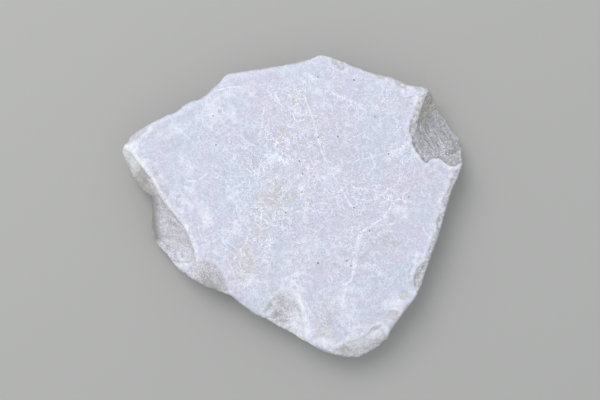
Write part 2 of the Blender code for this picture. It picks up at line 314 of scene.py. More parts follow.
# tinted patches, soft ovals seen from above: tint, middle, half width, half depth, turn in degrees, strength
tints = {
    "beige": [
        ((0.0102, 0.1407), 0.022, 0.018, 20, 0.55), ((0.0166, 0.1084), 0.010, 0.007, -20, 1.00),
        ((-0.0143, 0.0955), 0.008, 0.013, -30, 1.00), ((0.0102, 0.0736), 0.009, 0.010, 0, 0.85),
        ((-0.0040, 0.0620), 0.012, 0.008, 40, 0.65), ((-0.0259, 0.0400), 0.008, 0.008, 0, 1.00),
        ((-0.0233, 0.0140), 0.020, 0.012, 20, 1.00), ((-0.0026, 0.0155), 0.015, 0.010, 0, 0.85),
        ((-0.0360, -0.0020), 0.018, 0.014, 30, 1.00), ((-0.0414, -0.0230), 0.020, 0.022, -20, 0.85),
        ((-0.0170, 0.0100), 0.042, 0.060, 10, 0.32), ((0.0360, 0.0990), 0.034, 0.028, 0, 0.28),
        ((-0.0620, -0.0760), 0.026, 0.038, 10, 0.80), ((0.1224, -0.0438), 0.010, 0.018, 40, 1.00),
        ((0.0440, -0.1395), 0.015, 0.032, -12, 1.00), ((-0.0150, -0.1100), 0.014, 0.012, 0, 0.45),
        ((0.0400, -0.1720), 0.038, 0.020, -25, 0.85), ((-0.0530, -0.0528), 0.020, 0.018, 0, 0.80),
    ],
    "lavender": [
        ((0.1000, -0.0100), 0.055, 0.045, 0, 0.70), ((0.0600, 0.0800), 0.050, 0.055, 20, 0.70),
        ((0.0240, 0.0720), 0.016, 0.020, 10, 0.60), ((-0.0310, 0.0995), 0.008, 0.012, 0, 0.80),
        ((-0.0540, 0.0610), 0.014, 0.008, 10, 0.80), ((-0.1250, 0.0050), 0.042, 0.034, -20, 0.60),
        ((-0.1600, 0.0850), 0.018, 0.012, 0, 0.40), ((0.0350, -0.0750), 0.040, 0.030, 0, 0.20),
        ((0.0420, 0.0160), 0.055, 0.045, 0, 0.45), ((-0.1060, 0.0230), 0.022, 0.022, 0, 0.35),
        ((-0.1580, 0.0990), 0.020, 0.014, 0, 0.40), ((0.0812, 0.0380), 0.040, 0.030, 0, 0.70),
        ((0.0080, -0.0290), 0.042, 0.030, 0, 0.75), ((-0.0285, -0.0812), 0.022, 0.022, 0, 0.45),
    ],
    "greyBlue": [
        ((-0.0750, 0.0600), 0.050, 0.045, 0, 0.55), ((-0.0543, 0.1097), 0.012, 0.010, 0, 0.80),
        ((-0.0582, 0.0890), 0.014, 0.008, 20, 0.70), ((-0.0775, 0.0390), 0.012, 0.010, 0, 0.70),
        ((0.0554, 0.0800), 0.010, 0.014, 0, 0.60), ((0.1050, -0.0950), 0.045, 0.040, 0, 0.60),
        ((0.0620, -0.1150), 0.050, 0.050, 0, 0.45), ((-0.0480, 0.1300), 0.032, 0.022, 0, 0.35),
        ((0.1700, 0.0100), 0.030, 0.040, 0, 0.60), ((-0.1850, 0.0850), 0.020, 0.014, 30, 0.60),
        ((-0.1970, 0.0930), 0.016, 0.012, 30, 0.70), ((0.0610, -0.1690), 0.032, 0.014, 0, 0.60),
    ],
    "dim": [
        ((0.0618, 0.0760), 0.095, 0.040, 0, 0.50), ((-0.0480, 0.0700), 0.050, 0.030, 0, 0.45),
        ((0.0440, -0.1395), 0.014, 0.030, -12, 0.60), ((0.1198, -0.0464), 0.014, 0.016, 40, 0.80),
        ((-0.0272, 0.0904), 0.013, 0.011, 0, 0.90), ((-0.0324, -0.0115), 0.013, 0.014, 0, 0.90),
    ],
    "pale": [
        ((-0.0775, 0.1188), 0.018, 0.014, 0, 0.32), ((-0.0195, 0.0672), 0.016, 0.013, 0, 0.50),
        ((-0.0730, 0.0155), 0.012, 0.016, 0, 0.35), ((-0.1124, -0.0141), 0.018, 0.013, 0, 0.45),
        ((-0.0775, -0.0322), 0.014, 0.022, 0, 0.38), ((0.0000, -0.1044), 0.014, 0.024, 15, 0.42),
        ((-0.0569, -0.1006), 0.024, 0.014, -15, 0.42), ((0.1521, 0.1446), 0.022, 0.012, -20, 0.28),
        ((0.1444, -0.0020), 0.014, 0.014, 0, 0.42), ((0.0110, 0.0310), 0.012, 0.012, 0, 0.45),
        ((0.0400, -0.1765), 0.042, 0.014, -25, 0.50), ((0.1328, 0.0736), 0.026, 0.012, 15, 0.30),
        ((0.0683, -0.1070), 0.014, 0.024, -10, 0.32), ((0.0489, 0.0452), 0.022, 0.016, 0, 0.34),
        ((-0.1382, 0.0543), 0.020, 0.014, 0, 0.34), ((0.1070, 0.1317), 0.034, 0.010, -28, 0.28),
        ((-0.1500, 0.1050), 0.040, 0.012, 28, 0.28), ((0.0185, -0.1600), 0.022, 0.018, 0, 0.60),
        ((0.0102, -0.1200), 0.020, 0.020, 0, 0.50), ((0.1385, -0.1245), 0.036, 0.024, 60, 0.55),
        ((0.1650, -0.0631), 0.008, 0.014, -20, 0.55), ((0.0260, -0.0450), 0.020, 0.012, 20, 0.32),
        ((-0.1060, 0.1187), 0.044, 0.024, 28, 0.38), ((-0.0737, 0.1446), 0.040, 0.014, 28, 0.30),
        ((-0.1317, 0.0194), 0.032, 0.036, 0, 0.18), ((0.0747, -0.1483), 0.030, 0.022, 0, 0.28),
        ((-0.1253, 0.0027), 0.030, 0.034, 0, 0.22), ((-0.0995, -0.0554), 0.034, 0.024, 0, 0.20),
        ((-0.0027, -0.0830), 0.034, 0.034, 0, 0.24), ((0.0700, -0.1170), 0.044, 0.034, 0, 0.20),
        ((0.0231, 0.1620), 0.055, 0.018, 0, 0.20),
    ],
}
# uneven tone of the broken faces, patches as above; the shaded patches are painted shade and the pale ones
# partly painted light
shades = {
    # pale patches on the breaks: partly whitish marks, partly painted light, as on the upper end of the left
    # facet
    "pale": [
        ((-0.2110, 0.0660), 0.030, 0.022, -45, 0.70), ((-0.1407, -0.0580), 0.016, 0.020, 20, 0.30),
        ((-0.1394, -0.0683), 0.022, 0.009, -10, 0.20), ((-0.0388, -0.1303), 0.010, 0.010, 0, 0.45),
        ((-0.0182, -0.1150), 0.012, 0.008, 0, 0.40), ((-0.1700, 0.0310), 0.028, 0.008, -60, 0.50),
        ((-0.1498, -0.0051), 0.018, 0.008, -60, 0.45), ((0.0025, -0.1457), 0.014, 0.020, 15, 0.55),
        ((0.1135, -0.1610), 0.022, 0.018, 30, 0.60), ((0.0900, -0.1690), 0.024, 0.014, 20, 0.42),
        ((0.1998, 0.0581), 0.024, 0.007, 0, 0.15), ((0.1779, 0.0672), 0.014, 0.008, -20, 0.10),
        ((0.2153, 0.0672), 0.006, 0.010, 0, 0.35),
    ],
    # painted shade: darker patches on the breaks, low on the left facet, at its pinch, on the foot, on the
    # ledge and in the notch
    "paintedShade": [
        ((-0.1885, 0.0323), 0.016, 0.012, -50, 0.55), ((-0.1975, 0.0465), 0.014, 0.011, -50, 0.48),
        ((-0.1820, 0.0233), 0.014, 0.010, -50, 0.80), ((-0.1639, 0.0065), 0.010, 0.014, 20, 0.25),
        ((-0.1007, -0.0990), 0.030, 0.016, -25, 0.80), ((-0.1390, -0.0490), 0.012, 0.014, 0, 0.30),
        ((-0.0233, -0.1370), 0.014, 0.014, 0, 0.65), ((0.0631, -0.1844), 0.020, 0.008, 12, 0.70),
        ((0.1560, 0.1060), 0.007, 0.014, -10, 0.75), ((0.1831, 0.1136), 0.012, 0.008, 30, 0.35),
        ((0.2076, 0.0826), 0.010, 0.020, 30, 0.40), ((0.1740, 0.0994), 0.006, 0.012, 30, 0.25),
    ],
    "warm": [  # breaks of a warmer grey
        ((-0.1930, 0.0400), 0.054, 0.028, -50, 1.00), ((-0.2110, 0.0640), 0.026, 0.020, -50, 1.00),
        ((0.0800, -0.1790), 0.040, 0.014, 16, 0.80), ((0.1600, 0.1200), 0.014, 0.032, -20, 0.50),
    ],
    "scuffed": [  # where the top is most scuffed
        ((-0.0027, 0.0520), 0.110, 0.120, 0, 0.90), ((0.0300, -0.0100), 0.190, 0.210, 0, 0.38),
        ((0.0800, 0.0156), 0.090, 0.050, 0, 0.80), ((-0.0350, -0.0250), 0.060, 0.060, 0, 0.85),
        ((0.1520, 0.0780), 0.040, 0.050, 0, 0.80), ((0.1000, -0.0350), 0.045, 0.035, 0, 0.50),
        ((0.0700, 0.1300), 0.110, 0.045, -15, 0.45), ((0.0950, 0.0220), 0.040, 0.040, 0, 0.60),
    ],
    "sparkling": [  # where the breaks sparkle
        ((0.1727, 0.0878), 0.008, 0.006, -30, 0.85), ((0.1950, 0.0788), 0.013, 0.007, -30, 0.85),
        ((0.2140, 0.0697), 0.006, 0.010, 0, 0.30), ((0.1637, 0.1020), 0.008, 0.006, 0, 0.15),
        ((0.1805, 0.0607), 0.020, 0.006, 0, 0.20), ((-0.1317, -0.0709), 0.040, 0.014, -20, 0.65),
        ((-0.1123, -0.0838), 0.026, 0.018, 0, 0.80), ((-0.1639, -0.0554), 0.012, 0.022, 20, 0.25),
        ((-0.0117, -0.1354), 0.026, 0.030, 0, 0.32), ((0.1031, -0.1689), 0.020, 0.012, 25, 0.25),
    ],
}
ovalLook = {
    "seed": 4,
    "waves": [(0.060, 0.0045), (0.031, 0.0030), (0.017, 0.0018)],  # wave length, how far it pushes them
    "fade": (1.0, 0.2),  # gone and full, as shares of an oval's size
}
# surface relief: lump size, height, mask, stretch along x, y and z, turn about z and level that stays put
reliefLayers = [
    ("topSwell", 0.0240, 0.0006, {"group": "onTop", "middle": 0.6}),
    ("topGrain", 0.0050, 0.00022, {"group": "onTop"}),
    ("brokenLumps", 0.0110, 0.0011, {"group": "onBroken"}),
    ("brokenGrain", 0.0042, 0.0012, {"group": "onBroken"}),
    ("brokenGrit", 0.0024, 0.0009, {"group": "onBroken"}),
    ("notchFibres", 0.0040, 0.0013, {"group": "onFloor", "stretch": (1, 6, 3), "turn": 28}),
    ("sideBeds", 0.0060, 0.0028, {"group": "onSide", "stretch": (9, 9, 1)}),
    ("nibbledRim", 0.0060, -0.0026, {"group": "onRim", "middle": 0.42}),
    ("underside", 0.0300, -0.0030, {"group": "onUnder", "middle": 0.2}),
]


def copyOfNode(name, mergeWithin):
    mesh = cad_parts[name].data.copy()
    piece = bpy.data.objects.new("steppingStone", mesh)
    bpy.context.scene.collection.objects.link(piece)
    deselectAll()
    piece.select_set(True)
    bpy.context.view_layer.objects.active = piece
    bpy.ops.object.mode_set(mode="EDIT")
    bpy.ops.mesh.select_all(action="SELECT")
    bpy.ops.mesh.remove_doubles(threshold=mergeWithin)
    bpy.ops.object.mode_set(mode="OBJECT")
    return piece


def knockOff(piece, places, rounds, ballLumps):
    # balls set into the surface and cut away, a few rounds so that neighbours never share a cut
    lumpSize, lumpHeight = ballLumps
    surface = [(piece.closest_point_on_mesh(point), radius, depth) for point, radius, depth in places]
    for turn in range(rounds):
        deselectAll()
        balls = []
        for (found, place, normal, face), radius, depth in surface[turn::rounds]:
            bpy.ops.mesh.primitive_ico_sphere_add(
                subdivisions=3, radius=radius, location=place + normal * (radius - depth)
            )
            balls.append(bpy.context.object)
            lumps = bpy.data.textures.new("lumps", "CLOUDS")
            lumps.noise_scale = radius * lumpSize
            height = radius * lumpHeight
            applied(balls[-1], "DISPLACE", texture=lumps, texture_coords="GLOBAL", strength=height)
        for ball in balls:
            ball.select_set(True)
        bpy.ops.object.join()
        cutter = bpy.context.object
        applied(piece, "BOOLEAN", operation="DIFFERENCE", object=cutter, solver="MANIFOLD")
        bpy.data.objects.remove(cutter)


def sidePlaces(piece, look):
    # odd places all round the side, found by looking in from outside
    draw = random.Random(look["seed"])
    places = []
    for index in range(look["count"]):
        aside = draw.uniform(-look["scatter"], look["scatter"])
        towards = compass(360 * (index + aside) / look["count"])
        start = towards * look["lookFrom"]
        start.z = draw.uniform(*look["levels"])
        found, place, normal, face = piece.ray_cast(start, -towards)
        places.append((place, draw.uniform(*look["radius"]), draw.uniform(*look["depth"])))
    return places


def roughened(piece, name, size, height, group, stretch=(1, 1, 1), turn=0, middle=0.5):
    # stretch makes the lumps longer along x, y and z after the turn
    deselectAll()
    bpy.ops.object.empty_add(location=(0, 0, 0), rotation=(0, 0, math.radians(turn)))
    frameOfLumps = bpy.context.object
    frameOfLumps.scale = stretch
    bpy.context.view_layer.update()
    lumps = bpy.data.textures.new(name, "CLOUDS")
    lumps.noise_scale = size
    lumps.noise_depth = 3
    lumps.noise_basis = "IMPROVED_PERLIN"
    applied(
        piece, "DISPLACE", texture=lumps, texture_coords="OBJECT", texture_coords_object=frameOfLumps,
        strength=height, mid_level=middle, vertex_group=group,
    )
    bpy.data.objects.remove(frameOfLumps)


def smoothStep(low, high, value):
    t = np.clip((value - low) / (high - low), 0, 1)
    return t * t * (3 - 2 * t)


def insideBy(points, outline):
    # how far inside a closed outline each point lies, below zero outside
    corners = np.array(outline)
    nearest = np.full(len(points), np.inf)
    inside = np.zeros(len(points), bool)
    for a, b in zip(corners, np.roll(corners, -1, axis=0)):
        run = b - a
        t = np.clip((points - a) @ run / (run @ run), 0, 1)
        nearest = np.minimum(nearest, np.linalg.norm(points - a - t[:, None] * run, axis=1))
        crosses = (points[:, 1] < a[1]) != (points[:, 1] < b[1])
        if a[1] != b[1]:
            inside ^= crosses & (points[:, 0] < a[0] + (points[:, 1] - a[1]) * run[0] / run[1])
    return np.where(inside, nearest, -nearest)


def vertexArrays(piece):
    mesh = piece.data
    places = np.empty(len(mesh.vertices) * 3, np.float32)
    normals = np.empty(len(mesh.vertices) * 3, np.float32)
    edges = np.empty(len(mesh.edges) * 2, np.int32)
    mesh.vertices.foreach_get("co", places)
    mesh.vertices.foreach_get("normal", normals)
    mesh.edges.foreach_get("vertices", edges)
    return places.reshape(-1, 3), normals.reshape(-1, 3), edges.reshape(-1, 2)


def spread(values, edges, passes):
    # each vertex takes the mean of its neighbours and itself
    count = 1 + np.bincount(edges.ravel(), minlength=len(values))
    for _ in range(passes):
        total = values.copy()
        for a, b in ((0, 1), (1, 0)):
            for axis in range(values.shape[1]):
                total[:, axis] += np.bincount(edges[:, a], values[edges[:, b], axis], len(values))
        values = total / count[:, None]
    return values


def keepAttribute(piece, name, values):
    attribute = piece.data.attributes.new(name, "FLOAT", "POINT")
    attribute.data.foreach_set("value", values.astype(np.float32))


def keepGroup(piece, name, values, steps=20):
    # weights in even steps, so that each step is one call
    group = piece.vertex_groups.new(name=name)
    levels = np.round(values * steps).astype(int)
    for level in range(1, steps + 1):
        members = np.nonzero(levels == level)[0].tolist()
        group.add(members, level / steps, "REPLACE")


def bendOf(places, normals, edges, passes):
    # how much each place stands out from its surroundings, in grid widths
    soft = spread(places.astype(float), edges, passes)
    bend = np.einsum("ij,ij->i", places - soft, normals) / shapeLook["finalGrid"]
    return spread(bend[:, None], edges, 1)[:, 0]


def carriedUp(places):
    # outlines are seen from the camera's place, so lower points are carried up along its rays
    over = np.array(cameraLook["over"])
    drop = (stoneTop - places[:, 2:]) / cameraLook["height"]
    return over + (places[:, :2] - over) / (1 + drop)


def faceMasks(plan, up):
    seen = up > 0
    broken, lip, grooveShade, near = (np.zeros(len(plan)) for _ in range(4))
    for feather, share, rub, crease, outline in brokenFaces.values():
        inside = insideBy(plan, outline)
        near = np.maximum(near, smoothStep(*outlineMasks["near"], inside) * seen)
        broken = np.maximum(broken, share * smoothStep(-feather, feather, inside) * seen)
        lip = np.maximum(lip, rub * smoothStep(*outlineMasks["lip"], inside) * seen)
        # a band of painted shade just inside the outline
        ring = crease * smoothStep(*outlineMasks["grooveShade"], inside)
        grooveShade = np.maximum(grooveShade, ring * smoothStep(*outlineMasks["grooveEnd"], inside) * seen)
    notch = smoothStep(*outlineMasks["notch"], insideBy(plan, brokenFaces["notch"][-1])) * seen
    wall = smoothStep(*outlineMasks["notch"], insideBy(plan, wallOutline)) * notch
    side = smoothStep(*facingMasks["side"], up)
    return np.maximum(broken, maskShares["brokenSide"] * side), lip, grooveShade, notch, wall, near


def makeGroups(piece):
    places, normals, edges = vertexArrays(piece)
    up = normals[:, 2]
    broken, lip, grooveShade, notch, wall, near = faceMasks(carriedUp(places), up)
    bend = bendOf(places, normals, edges, 6)
    side, under = smoothStep(*facingMasks["side"], up), smoothStep(*facingMasks["under"], up)
    rough = broken * (1 - maskShares["calmWall"] * wall) * (1 - maskShares["calmNotch"] * notch)
    keepGroup(piece, "onTop", smoothStep(*facingMasks["onTop"], up) * (1 - broken))
    keepGroup(piece, "onBroken", rough * (up > facingMasks["under"][0]))
    keepGroup(piece, "onFloor", notch * (1 - wall))
    keepGroup(piece, "onSide", smoothStep(*facingMasks["onSide"], np.abs(up)))
    keepGroup(piece, "onRim", smoothStep(*bendMasks["rim"], bend) * (1 - notch))
    keepGroup(piece, "onUnder", under)
    thin = shapeLook["thinning"]
    thinning = thin["top"] + (thin["side"] - thin["top"]) * side
    thinning += (thin["underside"] - thinning) * under
    thinning += (thin["broken"] - thinning) * near
    keepGroup(piece, "thinning", thinning)


def patchMasks(plan):
    # every tint's ovals together, on places pushed about a little so that their edges are uneven
    draw = random.Random(ovalLook["seed"])
    moved = plan.copy()
    for wave, reach in ovalLook["waves"]:
        for axis in (0, 1):
            across = np.array(compass(draw.uniform(0, 360))[:2]) * math.tau / wave
            moved[:, axis] += reach * np.sin(plan @ across + draw.uniform(0, math.tau))
    masks = {}
    for name, ovals in [*tints.items(), *shades.items()]:
        for middle, wide, deep, turn, strength in ovals:
            across, up = np.array(compass(turn)[:2]), np.array(compass(turn + 90)[:2])
            off = moved - middle
            far = np.hypot(off @ across / wide, off @ up / deep)
            masks[name] = 1 - (1 - masks.get(name, 0)) * (1 - strength * smoothStep(*ovalLook["fade"], far))
    return masks


def makeMasks(piece):
    places, normals, edges = vertexArrays(piece)
    up = spread(normals[:, 2:].astype(float), edges, 4)[:, 0]
    plan = carriedUp(places)
    broken, lip, grooveShade, notch, wall, near = faceMasks(plan, up)
    bend = bendOf(places, normals, edges, 2)
    broad = bendOf(places, normals, edges, 8)
    rim = maskShares["rubbedRim"] * smoothStep(*bendMasks["lip"], broad) * (1 - notch)
    for name, mask in patchMasks(plan).items():
        keepAttribute(piece, name, mask)
    keepAttribute(piece, "top", smoothStep(*facingMasks["top"], up) * (1 - broken))
    keepAttribute(piece, "broken", broken)
    keepAttribute(piece, "fresh", notch)
    keepAttribute(piece, "wall", wall)
    keepAttribute(piece, "lip", np.maximum(lip * (1 - broken), rim))
    # painted shade just inside the breaks' outlines
    keepAttribute(piece, "grooveShade", grooveShade * (1 - wall))
    keepAttribute(piece, "steep", smoothStep(*facingMasks["steep"], up))
    keepAttribute(piece, "worn", smoothStep(*bendMasks["worn"], bend))
    # hollows, darkened in the finish as painted shade
    keepAttribute(piece, "hollowShade", smoothStep(*bendMasks["hollowShade"], -bend))


def makeStone(look):
    stone = copyOfNode("stone", look["mergeWithin"])
    applied(stone, "REMESH", mode="VOXEL", voxel_size=look["firstGrid"])
    applied(stone, "SMOOTH", factor=look["smoothing"], iterations=look["facetWear"])
    print("slab smoothed:", len(stone.data.polygons), "faces")
    rim = []
    for marks in flakes.values():
        rim += [(Vector((*plan, stoneTop)), radius, depth) for plan, radius, depth in marks]
    knockOff(stone, rim, look["cutRounds"], look["ballLumps"])
    knockOff(stone, sidePlaces(stone, sideFlakes), look["cutRounds"], look["ballLumps"])
    print("flakes knocked off")
    applied(stone, "REMESH", mode="VOXEL", voxel_size=look["finalGrid"])
    applied(stone, "SMOOTH", factor=look["smoothing"], iterations=look["edgeWear"])
    makeGroups(stone)
    for name, size, height, settings in reliefLayers:
        roughened(stone, name, size, height, **settings)
    makeMasks(stone)
    triangles = 2 * len(stone.data.polygons)
    applied(stone, "DECIMATE", ratio=min(1, look["mostTriangles"] / triangles), vertex_group="thinning")
    deselectAll()
    stone.select_set(True)
    bpy.context.view_layer.objects.active = stone
    bpy.ops.object.shade_smooth()
    print("slab finished:", len(stone.data.polygons), "faces")
    return stone


stone = makeStone(shapeLook)


def addNode(tree, kind, **settings):
    node = tree.nodes.new(kind)
    for name, value in settings.items():
        setattr(node, name, value)
    return node


def feed(tree, source, socket):
    # a socket is linked, a plain number, colour or place is set
    if isinstance(source, bpy.types.NodeSocket):
        tree.links.new(source, socket)
    elif socket.type == "RGBA":
        socket.default_value = (*source, 1)
    else:
        socket.default_value = source


def calc(tree, operation, a, b=0.0, c=0.0, clamp=False):
    node = addNode(tree, "ShaderNodeMath", operation=operation, use_clamp=clamp)
    for source, socket in zip((a, b, c), node.inputs):
        feed(tree, source, socket)
    return node.outputs[0]


def times(tree, a, b):
    return calc(tree, "MULTIPLY", a, b)


def between(tree, value, low, high, toLow=0.0, toHigh=1.0, smooth=True):
    node = addNode(tree, "ShaderNodeMapRange", interpolation_type="SMOOTHSTEP" if smooth else "LINEAR")
    for source, socket in zip((value, low, high, toLow, toHigh), node.inputs):
        feed(tree, source, socket)
    return node.outputs[0]


def along(tree, operation, a, b=(0, 0, 0)):
    node = addNode(tree, "ShaderNodeVectorMath", operation=operation)
    feed(tree, a, node.inputs[0])
    feed(tree, b, node.inputs[3] if operation == "SCALE" else node.inputs[1])
    return node.outputs["Value" if operation == "LENGTH" else "Vector"]


def mixColour(tree, share, under, over, blend="MIX"):
    node = addNode(tree, "ShaderNodeMix", data_type="RGBA", blend_type=blend)
    feed(tree, share, node.inputs[0])
    feed(tree, under, node.inputs[6])
    feed(tree, over, node.inputs[7])
    return node.outputs[2]


def noise(tree, place, size, detail=2.0, roughness=0.5, colour=False):
    # size is the width of one lump in metres, a number or a socket
    density = calc(tree, "DIVIDE", 1.0, size) if isinstance(size, bpy.types.NodeSocket) else 1 / size
    node = addNode(tree, "ShaderNodeTexNoise")
    feed(tree, place, node.inputs["Vector"])
    feed(tree, density, node.inputs["Scale"])
    feed(tree, detail, node.inputs["Detail"])
    feed(tree, roughness, node.inputs["Roughness"])
    return node.outputs["Color" if colour else "Fac"]


def rotated(tree, source, angle):
    node = addNode(tree, "ShaderNodeVectorRotate", rotation_type="Z_AXIS")
    feed(tree, source, node.inputs["Vector"])
    feed(tree, angle, node.inputs["Angle"])
    return node.outputs[0]


def parts(tree, source, kind="ShaderNodeSeparateXYZ"):
    node = addNode(tree, kind)
    feed(tree, source, node.inputs[0])
    return node.outputs


def newGroup(name, inputs, outputs):
    tree = bpy.data.node_groups.new(name, "ShaderNodeTree")
    for label, kind, value in inputs:
        socket = tree.interface.new_socket(label, in_out="INPUT", socket_type="NodeSocket" + kind)
        socket.default_value = value
    for label in outputs:
        tree.interface.new_socket(label, in_out="OUTPUT", socket_type="NodeSocketFloat")
    return tree, addNode(tree, "NodeGroupInput").outputs, addNode(tree, "NodeGroupOutput").inputs


def placeGroup(tree, group, **sources):
    node = addNode(tree, "ShaderNodeGroup", node_tree=group)
    for name, source in sources.items():
        feed(tree, source, node.inputs[name])
    return node.outputs


# nodes are added in the order they feed each other, which keeps a long shader within the renderer's memory
def makeScratches():
    # one short bent stroke at most in each cell of a random net, seen from above
    tree, given, result = newGroup("scratches", [
        ("Place", "Vector", (0, 0, 0)), ("Spacing", "Float", 0.01), ("Length", "Float", 0.01),
        ("Width", "Float", 0.001), ("Shift", "Float", 0.0), ("Share", "Float", 0.5),
    ], ["Mask"])
    flat = along(tree, "MULTIPLY", given["Place"], (1, 1, 0))
    flat = along(tree, "ADD", flat, given["Shift"])
    density = calc(tree, "DIVIDE", 1.0, given["Spacing"])
    net = addNode(tree, "ShaderNodeTexVoronoi", voronoi_dimensions="2D")
    feed(tree, flat, net.inputs["Vector"])
    feed(tree, density, net.inputs["Scale"])
    odds = parts(tree, net.outputs["Color"], "ShaderNodeSeparateColor")
    own = along(tree, "SUBTRACT", flat, net.outputs["Position"])
    own = parts(tree, rotated(tree, own, times(tree, odds[0], math.tau)))
    down = calc(tree, "DIVIDE", own[0], given["Length"])  # -0.5 to 0.5 along the stroke
    fall = times(tree, down, down)
    bend = times(tree, calc(tree, "SUBTRACT", odds[1], 0.5), times(tree, given["Length"], 0.45))
    middle = calc(tree, "MULTIPLY_ADD", fall, bend, own[1])
    off = calc(tree, "ABSOLUTE", calc(tree, "DIVIDE", middle, given["Width"]))
    line = calc(tree, "MULTIPLY_ADD", off, -3.6, 1.8, clamp=True)
    ends = calc(tree, "MULTIPLY_ADD", fall, -7.0, 1.75, clamp=True)
    stroke = times(tree, line, ends)
    drawn = calc(tree, "LESS_THAN", odds[2], given["Share"])
    strength = times(tree, drawn, between(tree, odds[1], 0, 1, 0.35, 1.0, smooth=False))
    feed(tree, times(tree, stroke, strength), result["Mask"])
    return tree


def makeVein():
    # one straight run of a vein, seen from above, fading out over its width
    tree, given, result = newGroup("vein", [
        ("Place", "Vector", (0, 0, 0)), ("Middle", "Vector", (0, 0, 0)), ("Half", "Vector", (0.01, 0, 1)),
        ("Turn", "Float", 0.0), ("Width", "Float", 0.002),
    ], ["Mask"])
    own = rotated(tree, along(tree, "SUBTRACT", given["Place"], given["Middle"]), given["Turn"])
    beyond = along(tree, "SUBTRACT", along(tree, "ABSOLUTE", own), given["Half"])
    gap = along(tree, "LENGTH", along(tree, "MAXIMUM", beyond, (0, 0, 0)))
    share = calc(tree, "DIVIDE", gap, given["Width"])
    feed(tree, calc(tree, "SUBTRACT", 1.0, share, clamp=True), result["Mask"])
    return tree


def makeFilaments():
    # winding fine lines where a soft noise crosses its middle value
    tree, given, result = newGroup("filaments", [
        ("Place", "Vector", (0, 0, 0)), ("Size", "Float", 0.01), ("Width", "Float", 0.001),
        ("Shift", "Float", 0.0),
    ], ["Mask"])
    soft = noise(tree, along(tree, "ADD", given["Place"], given["Shift"]), given["Size"], 2.0, 0.4)
    away = calc(tree, "ABSOLUTE", calc(tree, "SUBTRACT", soft, 0.5))
    # the noise climbs about 0.6 over one lump
    reach = calc(tree, "DIVIDE", times(tree, given["Width"], 0.3), given["Size"])
    feed(tree, calc(tree, "SUBTRACT", 1.0, calc(tree, "DIVIDE", away, reach), clamp=True), result["Mask"])
    return tree


def makeSpot():
    # a round spot, seen from above; with a blur of 1 it starts to fade at its middle
    tree, given, result = newGroup("spot", [
        ("Place", "Vector", (0, 0, 0)), ("Middle", "Vector", (0, 0, 0)), ("Radius", "Float", 0.01),
        ("Blur", "Float", 0.6),
    ], ["Mask"])
    off = along(tree, "LENGTH", along(tree, "SUBTRACT", given["Place"], given["Middle"]))
    far = calc(tree, "DIVIDE", off, given["Radius"])
    solid = calc(tree, "SUBTRACT", 1.0, given["Blur"])
    feed(tree, between(tree, far, solid, 1.0, 1.0, 0.0), result["Mask"])
    return tree


def makeGrain():
    # granular break: fine grains over small lumps, scattered bright grains, and height
    tree, given, result = newGroup("grain", [
        ("Place", "Vector", (0, 0, 0)), ("Size", "Float", 0.002), ("Share", "Float", 0.08),
    ], ["Tone", "Sparkle", "Height"])
    fine = noise(tree, given["Place"], given["Size"], 2.0, 0.6)
    coarse = noise(tree, given["Place"], calc(tree, "DIVIDE", given["Size"], 0.3), 3.0, 0.6)
    height = calc(tree, "MULTIPLY_ADD", coarse, 0.7, fine)
    feed(tree, between(tree, height, 0.68, 1.02, smooth=False), result["Tone"])
    cells = addNode(tree, "ShaderNodeTexVoronoi")
    feed(tree, given["Place"], cells.inputs["Vector"])
    feed(tree, calc(tree, "DIVIDE", 0.9, given["Size"]), cells.inputs["Scale"])
    odds = parts(tree, cells.outputs["Color"], "ShaderNodeSeparateColor")
    bright = calc(tree, "LESS_THAN", odds[1], given["Share"])
    spot = between(tree, cells.outputs["Distance"], 0.25, 0.60, 1.0, 0.0)
    feed(tree, times(tree, bright, spot), result["Sparkle"])
    feed(tree, height, result["Height"])
    return tree


